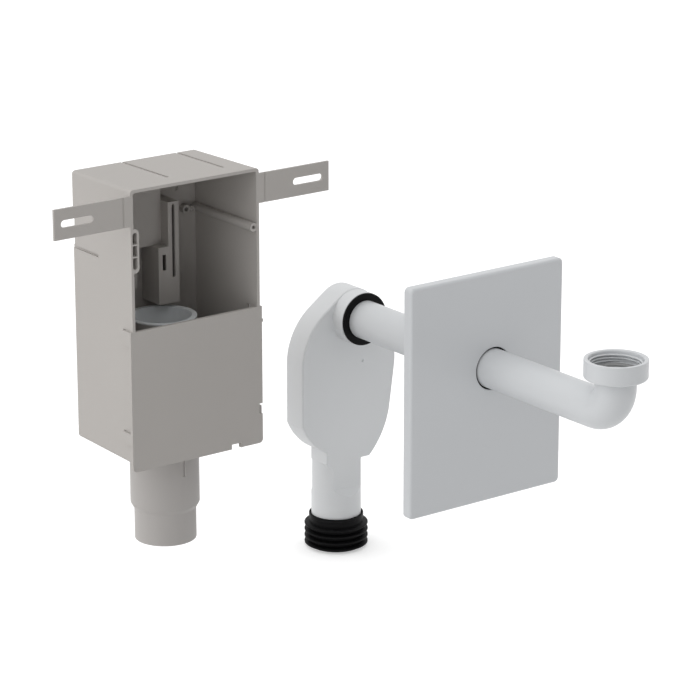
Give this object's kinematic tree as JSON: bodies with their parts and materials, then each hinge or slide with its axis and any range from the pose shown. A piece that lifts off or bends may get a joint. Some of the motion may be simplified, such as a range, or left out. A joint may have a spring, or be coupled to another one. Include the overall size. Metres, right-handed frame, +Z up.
{
  "type": "concealed basin trap",
  "caption": "Concealed basin trap: a wall box with fixing ears, drain connector and lower cover, laid out beside the flat trap body with its pipe bend, union nut and cover plate.",
  "frame": {"origin": "centre of the drain spigot's lower end", "axes": "+Z up along the drain spigot, -Y out of the wall into the room, +X to the right seen from the room"},
  "size_m": [0.3861, 0.3931, 0.359],
  "materials": {
    "box_plastic": "fine matt, warm grey",
    "drain_plastic": "satin grey",
    "sleeve_plastic": "semi-gloss blue-white",
    "trap_plastic": "satin light grey",
    "seal_rubber": "matt black",
    "gasket_rubber": "matt grey",
    "pipe_plastic": "semi-gloss light grey",
    "plate_plastic": "satin light grey"
  },
  "bodies": {
    "set": {"wall_box": "box_plastic", "trap_holder": "box_plastic", "lower_cover": "box_plastic", "drain_connector": "drain_plastic", "socket_sleeve": "sleeve_plastic", "trap_rear_shell": "trap_plastic", "trap_front_shell": "trap_plastic", "outlet_seal": "seal_rubber"},
    "seal": {"inlet_seal": "seal_rubber"},
    "bend": {"connection_bend": "pipe_plastic", "nut_gasket": "gasket_rubber"},
    "nut": {"union_nut": "pipe_plastic"},
    "plate": {"cover_plate": "plate_plastic", "plate_ring": "seal_rubber"}
  },
  "joints": [
    {"name": "bend_turn", "type": "hinge", "parent": "set", "child": "seal", "pos_m": [0.1877, 0, 0.1538], "axis": [0, 1, 0], "range_deg": [-90, 90]},
    {"name": "bend_slide", "type": "slide", "parent": "seal", "child": "bend", "axis": [0, 1, 0], "range_m": [-0.008, 0.012]},
    {"name": "nut_turn", "type": "hinge", "parent": "bend", "child": "nut", "pos_m": [0.1877, -0.3303, 0.19], "axis": [0, 0, 1], "continuous": true},
    {"name": "plate_slide", "type": "slide", "parent": "bend", "child": "plate", "axis": [0, 1, 0], "range_m": [-0.05, 0.11]}
  ]
}
